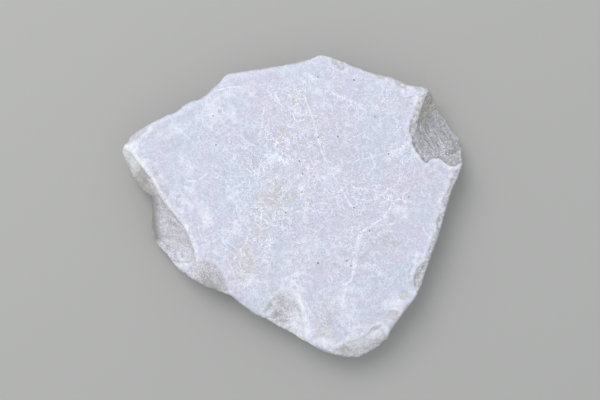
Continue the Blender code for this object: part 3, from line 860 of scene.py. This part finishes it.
finishLook = {
    "greyBlue": (0.558, 0.598, 0.700),
    "lavender": (0.590, 0.574, 0.684),
    "beige": (0.560, 0.550, 0.578),
    "dim": (0.520, 0.533, 0.625),
    "rubbed": (0.850, 0.872, 0.950),  # scuffs, scratches, veins, pale patches and bright grains; the pale patches on the breaks are partly painted light
    "wornEdge": (0.860, 0.878, 0.900),
    "oldBreak": (0.745, 0.745, 0.838),
    # the dark colours of the breaks, for dark grains and stains, serve also as painted shade in hollows and
    # shaded patches
    "oldDark": (0.400, 0.382, 0.380),
    "freshBreak": (0.600, 0.602, 0.650),
    "freshDark": (0.225, 0.218, 0.215),
    "wall": (0.430, 0.415, 0.383),
    # soil on the steep sides, its colour also used for the painted shade there and in creases
    "soilAndShade": (0.235, 0.228, 0.212),
    "warmth": (1.000, 0.995, 0.925),
    "pit": (0.200, 0.190, 0.190),
    "blueFleck": (0.500, 0.560, 0.740),
    # width of the lumps in each noise, metres
    "lumps": {
        "nudge": 0.008, "broad": 0.070, "freckles": 0.009, "mottle": 0.014, "mottleFine": 0.0035,
        "cloud": 0.040, "smear": 0.0045, "cluster": 0.026, "fine": 0.0014, "grain": 0.0018,
        "stain": 0.010, "fibre": 0.0017,
    },
    "nudge": 0.004,  # how far veins and spots are pushed about
    "mottle": 0.075,  # how much the ground's brightness wavers
    "tintWander": [(0.0022, 0.17), (0.0080, 0.15)],  # small wandering tints: lump size, share
    "speckle": 0.24,
    "scuffed": (0.66, 1.30),  # how strong all marks are in the calm and in the most scuffed parts
    "clusters": (0.74, 1.24),  # the same between and in clusters
    "scuffs": 0.58,
    "filaments": 0.88,
    "scratches": 1.0,
    "veins": 1.0,
    "frost": (0.800, 0.860, 1.000),  # bright grains in the notch
    "fibreTurn": 28,
    "stain": 0.12,
    "raggedness": 1.3,  # how much patches break up into flecks
    # how dark the painted shade in creases and under edges is
    "creaseShadeStrength": 0.90,
    # how strong the soil and painted shade on the steep sides are
    "shadedSoilStrength": 0.75,
    "shadedSoilFrom": 0.15,  # how far down the soil and painted shade begin, as a share of the height
    # how much each of these shows, 0 to 1
    "shares": {
        "discs": 0.9, "veinCore": 0.40, "veinBand": 0.60, "strayPits": 0.6, "straySparkle": 0.03,
        # the hollows' shares set how dark their painted shade is
        "oldTone": 0.85, "oldWorn": 0.45, "oldHollowShade": 0.45, "oldSparkle": 0.8,
        "freshGrain": 0.55, "freshFibre": 0.45, "freshWorn": 0.35, "freshHollowShade": 0.5,
        "freshSparkle": 0.9,
    },
    "brokenEdge": (1.6, 1.2),  # how far smears and fine grain eat into the edges of breaks
    "notchEdge": 1.6,
    "fibreStretch": (1, 0.12, 0.5),
    "roughTop": 0.72,
    "roughBreak": 0.88,
    "rubbedRough": 0.12,  # how much rougher rubbed marks are
    # heights in millimetres
    "relief": {"mottle": 0.10, "fine": 0.08, "dots": -0.30, "grain": 2.0, "fibres": 0.8},
    "bump": 0.45,
}
# layers of scratches: spacing, length, width, shift, share of cells drawn, strength
scratchLayers = [
    (0.0320, 0.0420, 0.0017, 0.31, 0.65, 0.55),
    (0.0250, 0.0300, 0.0017, 3.91, 0.65, 0.65),
    (0.0180, 0.0190, 0.0017, 6.47, 0.60, 0.75),
    (0.0140, 0.0120, 0.0018, 1.73, 0.55, 0.90),
    (0.0120, 0.0075, 0.0019, 9.37, 0.55, 1.00),
    (0.0090, 0.0045, 0.0019, 7.13, 0.42, 0.95),
    (0.0065, 0.0024, 0.0020, 8.31, 0.38, 0.80),
]
# winding filaments: lump size, width, shift, strength
filamentLayers = [
    (0.0300, 0.0018, 0.0, 0.55),
    (0.0140, 0.0016, 2.3, 0.60),
    (0.0070, 0.0015, 4.9, 0.50),
]
# healed veins and long rubs: width, strength, places along each
veins = {
    "bent vein": (0.0034, 0.85, [
        (0.1379, 0.0104), (0.1289, 0.0027), (0.1186, -0.0128), (0.0979, -0.0270), (0.0863, -0.0335),
        (0.0811, -0.0593), (0.0773, -0.0928), (0.0695, -0.1006), (0.0644, -0.1263),
    ]),
    "its twin": (0.0022, 0.80, [(0.0889, -0.0348), (0.0840, -0.0560), (0.0799, -0.0900)]),
    "its branch": (0.0024, 0.75, [(0.0979, -0.0270), (0.1160, -0.0232), (0.1315, -0.0219)]),
    "long thin vein": (0.0024, 0.85, [
        (0.0154, 0.1445), (0.0283, 0.1084), (0.0386, 0.0697), (0.0515, 0.0439), (0.0695, 0.0130),
        (0.0786, -0.0025),
    ]),
    "broad rub": (0.0050, 0.75, [(0.0515, 0.1471), (0.0695, 0.1394), (0.0928, 0.1265)]),
    "upright rub": (0.0024, 0.75, [(-0.0362, 0.1291), (-0.0388, 0.1058), (-0.0440, 0.0852)]),
    "back tick": (0.0022, 0.85, [(-0.0233, 0.1471), (-0.0156, 0.1342)]),
    "left arc": (0.0020, 0.75, [(-0.1549, 0.1033), (-0.1446, 0.0994), (-0.1317, 0.0878)]),
    "middle arc": (0.0020, 0.75, [(-0.0672, 0.0929), (-0.0569, 0.0826), (-0.0491, 0.0800)]),
    "back left line": (0.0022, 0.85, [(-0.1000, 0.1500), (-0.0878, 0.1536), (-0.0672, 0.1562)]),
    "left middle line": (0.0024, 0.75, [
        (-0.0827, 0.0155), (-0.0724, 0.0052), (-0.0698, -0.0102), (-0.0595, -0.0232),
    ]),
    "left short line": (0.0024, 0.80, [(-0.1369, 0.0336), (-0.1214, 0.0336), (-0.1085, 0.0439)]),
    "lower left line": (0.0022, 0.85, [(-0.0749, -0.0670), (-0.0595, -0.0464), (-0.0543, -0.0283)]),
    "lower left tick": (0.0022, 0.80, [(-0.0466, -0.0541), (-0.0311, -0.0412)]),
    "front line": (0.0034, 0.85, [
        (-0.0053, -0.0902), (0.0076, -0.1031), (0.0102, -0.1186), (0.0166, -0.1367), (0.0205, -0.1521),
    ]),
    "right tick": (0.0022, 0.85, [(0.1676, -0.0270), (0.1779, -0.0399)]),
    "line to the notch": (0.0022, 0.75, [(0.1263, 0.0684), (0.1495, 0.0800)]),
    "hook": (0.0024, 0.80, [(0.1005, 0.0697), (0.1082, 0.0542), (0.0979, 0.0413)]),
    "centre line": (0.0020, 0.70, [(0.0489, 0.0388), (0.0592, 0.0027)]),
    "line beside the vein": (0.0020, 0.75, [(0.0786, 0.0007), (0.1118, 0.0134), (0.1373, 0.0310)]),
    "line from the back": (0.0020, 0.70, [(0.0708, 0.0573), (0.1029, 0.0650), (0.1379, 0.0740)]),
    "short upright": (0.0022, 0.75, [(0.1031, 0.0671), (0.1089, 0.0465)]),
    "slanting line": (0.0020, 0.70, [(0.0205, 0.0697), (0.0321, 0.0413), (0.0463, 0.0181)]),
}
# two flat scars near the right edge: middle, radius
beigeDiscs = [((0.1440, -0.1134), 0.0072), ((0.1308, -0.1398), 0.0080)]
# painted shade, dark lines in creases, under edges and on the steep left side: width, strength, places along
# each
creaseShadowLines = {
    "foot of the notch's wall": (0.0022, 0.64, [
        (0.1605, 0.1097), (0.1663, 0.1110), (0.1702, 0.1149), (0.1779, 0.1220), (0.1831, 0.1265),
        (0.1882, 0.1278),
    ]),
    "step of the notch": (0.0012, 0.33, [
        (0.1540, 0.0942), (0.1553, 0.0852), (0.1579, 0.0762), (0.1624, 0.0697), (0.1663, 0.0626),
        (0.1708, 0.0581),
    ]),
    "curved fibre": (0.0016, 0.34, [(0.1689, 0.1071), (0.1727, 0.0981), (0.1779, 0.0904), (0.1869, 0.0839)]),
    "second fibre": (0.0014, 0.26, [(0.1766, 0.1162), (0.1831, 0.1058), (0.1921, 0.0968)]),
    "steep side at the left": (0.0100, 1.00, [
        (-0.1820, 0.0130), (-0.1801, 0.0014), (-0.1794, -0.0115), (-0.1781, -0.0270), (-0.1749, -0.0399),
    ]),
    "under the left edge": (0.0018, 0.30, [
        (-0.1807, 0.0349), (-0.1743, 0.0233), (-0.1665, 0.0117), (-0.1601, 0.0014),
    ]),
}
# small dark pits and bluish flecks: middle, radius
darkPits = [
    ((-0.0982, 0.0800), 0.0011), ((-0.1020, 0.1175), 0.0012), ((0.0334, 0.1678), 0.0012),
    ((0.0799, 0.1639), 0.0014), ((0.1069, 0.1162), 0.0011), ((0.1245, 0.0686), 0.0013),
    ((0.1508, 0.0130), 0.0012), ((0.0796, -0.0007), 0.0014), ((0.0334, -0.0722), 0.0015),
    ((0.0708, -0.0696), 0.0012), ((0.0760, -0.0760), 0.0013), ((0.0092, 0.0593), 0.0013),
    ((0.0337, 0.0900), 0.0012), ((0.0591, 0.0911), 0.0013), ((0.0135, 0.0427), 0.0012),
    ((0.1001, -0.0306), 0.0013), ((-0.0084, -0.0071), 0.0012), ((0.0122, 0.0193), 0.0011),
]
blueFlecks = [
    ((-0.0930, 0.1239), 0.0040), ((-0.1627, 0.0697), 0.0022), ((-0.0130, -0.0670), 0.0024),
    ((0.0205, -0.0399), 0.0020), ((0.1753, -0.0102), 0.0022),
]


def runsOf(tree, group, place, marks, found=0.0):
    # the strongest of all straight runs that the marks are made of
    for width, strength, places in marks.values():
        for start, end in zip(places, places[1:]):
            run = Vector(end) - Vector(start)
            middle = (Vector(end) + Vector(start)) / 2
            mask = placeGroup(
                tree, group, Place=place, Middle=(*middle, 0), Half=(run.length / 2, 0, 1),
                Turn=-math.atan2(run.y, run.x), Width=width,
            )["Mask"]
            found = calc(tree, "MAXIMUM", found, times(tree, mask, strength))
    return found


def spotsOf(tree, group, place, marks, blur):
    found = 0.0
    for middle, radius in marks:
        mask = placeGroup(tree, group, Place=place, Middle=(*middle, 0), Radius=radius, Blur=blur)["Mask"]
        found = calc(tree, "MAXIMUM", found, mask)
    return found


def makeFinish(look):
    scratches, vein, filaments = makeScratches(), makeVein(), makeFilaments()
    spot, grain = makeSpot(), makeGrain()
    lumps, heights, shares = look["lumps"], look["relief"], look["shares"]
    finish = bpy.data.materials.new("wornLimestone")
    finish.use_nodes = True
    tree = finish.node_tree
    shader = tree.nodes["Principled BSDF"]
    place = addNode(tree, "ShaderNodeTexCoord").outputs["Object"]

    def kept(name):
        return addNode(tree, "ShaderNodeAttribute", attribute_name=name).outputs["Fac"]

    # places pushed about a little, so that veins and spots get uneven edges
    nudge = noise(tree, place, lumps["nudge"], 2.0, colour=True)
    nudge = along(tree, "SCALE", along(tree, "SUBTRACT", nudge, (0.5, 0.5, 0.5)), look["nudge"])
    wobbly = along(tree, "ADD", place, nudge)
    # lower places are carried up to the top's level along the camera's rays, as the outlines are
    depth = calc(tree, "SUBTRACT", stoneTop, parts(tree, place)[2])
    shrink = calc(tree, "DIVIDE", 1.0, calc(tree, "MULTIPLY_ADD", depth, 1 / cameraLook["height"], 1.0))
    over = (*cameraLook["over"], 0)

    def carried(where):
        lifted = along(tree, "ADD", along(tree, "SCALE", along(tree, "SUBTRACT", where, over), shrink), over)
        return along(tree, "MULTIPLY", lifted, (1, 1, 0))

    flat, wobbly = carried(place), carried(wobbly)

    def flecked(name):
        # a patch whose edge breaks up into flecks
        mask = calc(tree, "MULTIPLY_ADD", gap, look["raggedness"], kept(name))
        mask = between(tree, mask, 0.08, 0.92, smooth=False)
        return times(tree, mask, between(tree, kept(name), 0.0, 0.15))

    # ground colour
    broad = noise(tree, place, lumps["broad"], 7.0, 0.62)
    ground = mixColour(tree, between(tree, broad, 0.36, 0.64), look["greyBlue"], look["lavender"])
    freckles = noise(tree, place, lumps["freckles"], 4.0, 0.6)
    gap = calc(tree, "SUBTRACT", freckles, 0.5)
    for name in ("greyBlue", "lavender", "beige", "dim"):
        ground = mixColour(tree, flecked(name), ground, look[name])
    ground = mixColour(tree, flecked("pale"), ground, look["rubbed"])
    discs = times(tree, spotsOf(tree, spot, wobbly, beigeDiscs, 0.15), shares["discs"])
    ground = mixColour(tree, discs, ground, look["beige"])
    mottle = noise(tree, place, lumps["mottle"], 4.0, 0.6)
    mottle = calc(tree, "ADD", mottle, noise(tree, place, lumps["mottleFine"], 3.0, 0.6))
    wave = between(tree, mottle, 0.7, 1.3, 1 - look["mottle"], 1 + look["mottle"], smooth=False)
    ground = mixColour(tree, 1.0, ground, wave, "MULTIPLY")
    for size, share in look["tintWander"]:
        ground = mixColour(tree, share, ground, noise(tree, place, size, 3.0, 0.6, colour=True), "SOFT_LIGHT")

    # rubbed whitish marks
    cloud = between(tree, noise(tree, place, lumps["cloud"], 4.0, 0.6), 0.40, 0.60, 0.15, 1.0)
    smear = noise(tree, place, lumps["smear"], 4.0, 0.65)
    scuff = times(tree, between(tree, smear, 0.50, 0.64), times(tree, cloud, look["scuffs"]))
    threads = 0.0
    for size, width, shift, strength in filamentLayers:
        mask = placeGroup(tree, filaments, Place=place, Size=size, Width=width, Shift=shift)["Mask"]
        threads = calc(tree, "MAXIMUM", threads, times(tree, mask, strength))
    threads = times(tree, threads, between(tree, freckles, 0.46, 0.58, 0.0, look["filaments"]))
    strokes = 0.0
    for spacing, length, width, shift, share, strength in scratchLayers:
        mask = placeGroup(
            tree, scratches, Place=flat, Spacing=spacing, Length=length, Width=width, Shift=shift, Share=share
        )["Mask"]
        strokes = calc(tree, "MAXIMUM", strokes, times(tree, mask, strength))
    strokes = times(tree, strokes, between(tree, cloud, 0.15, 1.0, 0.55, 1.0, smooth=False))
    strokes = times(tree, strokes, look["scratches"])
    lines = runsOf(tree, vein, wobbly, veins)
    # a crisp middle in a soft band
    band = times(tree, lines, shares["veinBand"])
    lines = calc(tree, "MULTIPLY_ADD", between(tree, lines, 0.40, 0.70), shares["veinCore"], band)
    lines = times(tree, lines, between(tree, smear, 0.40, 0.56, 0.25, look["veins"]))
    # fine marks gather in clusters, with calm ground between them
    cluster = between(tree, noise(tree, place, lumps["cluster"], 4.0, 0.6), 0.36, 0.64, *look["clusters"])
    busy = times(tree, cluster, between(tree, kept("scuffed"), 0, 1, *look["scuffed"], smooth=False))
    marks = calc(tree, "MAXIMUM", calc(tree, "MAXIMUM", strokes, threads), scuff)
    marks = calc(tree, "MAXIMUM", times(tree, marks, busy), lines)
    marks = calc(tree, "MULTIPLY", marks, kept("top"), clamp=True)
    colour = mixColour(tree, marks, ground, look["rubbed"])

    # flecks and pits
    dots = spotsOf(tree, spot, flat, darkPits, 0.4)
    fine = noise(tree, place, lumps["fine"], 2.0, 0.6)
    dots = calc(tree, "MAXIMUM", dots, between(tree, fine, 0.27, 0.22, 0.0, shares["strayPits"]))
    dots = times(tree, dots, kept("top"))
    blue = spotsOf(tree, spot, wobbly, blueFlecks, 0.6)
    colour = mixColour(tree, times(tree, blue, kept("top")), colour, look["blueFleck"])
    colour = mixColour(tree, dots, colour, look["pit"])
    darkest, brightest = (calc(tree, "MULTIPLY_ADD", busy, way * look["speckle"], 1.0) for way in (-1, 1))
    speckle = between(tree, fine, 0.25, 0.75, darkest, brightest, smooth=False)
    colour = mixColour(tree, 1.0, colour, speckle, "MULTIPLY")

    # rubbed lips beside the breaks and along the rim
    lip = times(tree, kept("lip"), between(tree, smear, 0.38, 0.58, 0.25, 1.0))
    lip = times(tree, lip, between(tree, freckles, 0.38, 0.52, 0.60, 1.0))
    colour = mixColour(tree, lip, colour, look["wornEdge"])

    # broken faces, with ragged edges where they fade into the top
    bySmear, byFine = look["brokenEdge"]
    ragged = calc(tree, "MULTIPLY_ADD", calc(tree, "SUBTRACT", smear, 0.5), bySmear, kept("broken"))
    ragged = calc(tree, "MULTIPLY_ADD", calc(tree, "SUBTRACT", fine, 0.5), byFine, ragged)
    ragged = between(tree, ragged, 0.36, 0.54)
    share = calc(tree, "ADD", kept("sparkling"), shares["straySparkle"])
    grains = placeGroup(tree, grain, Place=place, Size=lumps["grain"], Share=share)
    # painted shade patches, and pale patches that are partly painted light
    paintedShade, pale = flecked("paintedShade"), flecked("pale")
    stain = between(tree, noise(tree, place, lumps["stain"], 4.0, 0.6), 0.35, 0.65, 0.0, look["stain"])
    tone = calc(tree, "MULTIPLY_ADD", grains["Tone"], -shares["oldTone"], shares["oldTone"])
    old = mixColour(tree, tone, look["oldBreak"], look["oldDark"])
    old = mixColour(tree, stain, old, look["oldDark"])
    old = mixColour(tree, times(tree, kept("worn"), shares["oldWorn"]), old, look["wornEdge"])
    # painted shade in hollows
    old = mixColour(tree, times(tree, kept("hollowShade"), shares["oldHollowShade"]), old, look["oldDark"])
    # painted shade patches
    old = mixColour(tree, paintedShade, old, look["oldDark"])
    # pale patches, partly painted light
    old = mixColour(tree, pale, old, look["rubbed"])
    old = mixColour(tree, times(tree, grains["Sparkle"], shares["oldSparkle"]), old, look["rubbed"])
    old = mixColour(tree, kept("warm"), old, mixColour(tree, 1.0, old, look["warmth"], "MULTIPLY"))
    colour = mixColour(tree, ragged, colour, old)

    # the notch: grey grains drawn out into fibres, and its plain wall
    fibres = rotated(tree, place, math.radians(-look["fibreTurn"]))
    fibres = noise(tree, along(tree, "MULTIPLY", fibres, look["fibreStretch"]), lumps["fibre"], 2.0, 0.6)
    drawn = between(tree, fibres, 0.30, 0.70, 0, shares["freshFibre"])
    tone = calc(tree, "MULTIPLY_ADD", grains["Tone"], shares["freshGrain"], drawn)
    fresh = mixColour(tree, tone, look["freshDark"], look["freshBreak"])
    fresh = mixColour(tree, times(tree, kept("worn"), shares["freshWorn"]), fresh, look["oldBreak"])
    # painted shade in hollows
    fresh = mixColour(tree, times(tree, kept("hollowShade"), shares["freshHollowShade"]), fresh, look["freshDark"])
    # painted shade patches
    fresh = mixColour(tree, paintedShade, fresh, look["freshDark"])
    # pale patches, partly painted light
    fresh = mixColour(tree, pale, fresh, look["rubbed"])
    fresh = mixColour(tree, times(tree, grains["Sparkle"], shares["freshSparkle"]), fresh, look["frost"])
    plain = between(tree, fine, 0.25, 0.75, 0.60, 1.40, smooth=False)
    plain = mixColour(tree, 1.0, look["wall"], plain, "MULTIPLY")
    uneven = between(tree, smear, 0.30, 0.70, 0.70, 1.30, smooth=False)
    plain = mixColour(tree, 1.0, plain, uneven, "MULTIPLY")
    fresh = mixColour(tree, kept("wall"), fresh, plain)
    bitten = calc(tree, "MULTIPLY_ADD", calc(tree, "SUBTRACT", fine, 0.5), look["notchEdge"], kept("fresh"))
    colour = mixColour(tree, between(tree, bitten, 0.38, 0.62), colour, fresh)

    # painted shade in creases and under the edges, and soil with painted shade on the steep sides near the
    # ground
    grooveShade = times(tree, kept("grooveShade"), between(tree, smear, 0.36, 0.56, 0.5, 1.0))
    grooveShade = runsOf(tree, vein, flat, creaseShadowLines, grooveShade)
    colour = mixColour(tree, times(tree, grooveShade, look["creaseShadeStrength"]), colour, look["soilAndShade"])
    # steep sides darken towards the ground: soil and painted shade
    low = between(tree, depth, stoneTop * look["shadedSoilFrom"], stoneTop, 0.25, 0.85)
    soiledAndShaded = times(tree, times(tree, kept("steep"), low), between(tree, freckles, 0.35, 0.60, 0.6, 1.0))
    colour = mixColour(tree, times(tree, soiledAndShaded, look["shadedSoilStrength"]), colour, look["soilAndShade"])
    feed(tree, colour, shader.inputs["Base Color"])

    rough = between(tree, kept("broken"), 0, 1, look["roughTop"], look["roughBreak"], smooth=False)
    feed(tree, calc(tree, "MULTIPLY_ADD", marks, look["rubbedRough"], rough), shader.inputs["Roughness"])

    relief = times(tree, mottle, heights["mottle"])
    relief = calc(tree, "MULTIPLY_ADD", fine, heights["fine"], relief)
    relief = calc(tree, "MULTIPLY_ADD", dots, heights["dots"], relief)
    granular = times(tree, ragged, calc(tree, "SUBTRACT", 1.0, kept("wall")))
    relief = calc(tree, "MULTIPLY_ADD", times(tree, grains["Height"], granular), heights["grain"], relief)
    relief = calc(tree, "MULTIPLY_ADD", times(tree, fibres, kept("fresh")), heights["fibres"], relief)
    bump = addNode(tree, "ShaderNodeBump")
    feed(tree, relief, bump.inputs["Height"])
    bump.inputs["Distance"].default_value = 0.001
    bump.inputs["Strength"].default_value = look["bump"]
    feed(tree, bump.outputs[0], shader.inputs["Normal"])
    return finish


stone.data.materials.clear()
stone.data.materials.append(makeFinish(finishLook))
print("finish made")

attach(stone, "root")
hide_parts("stone")
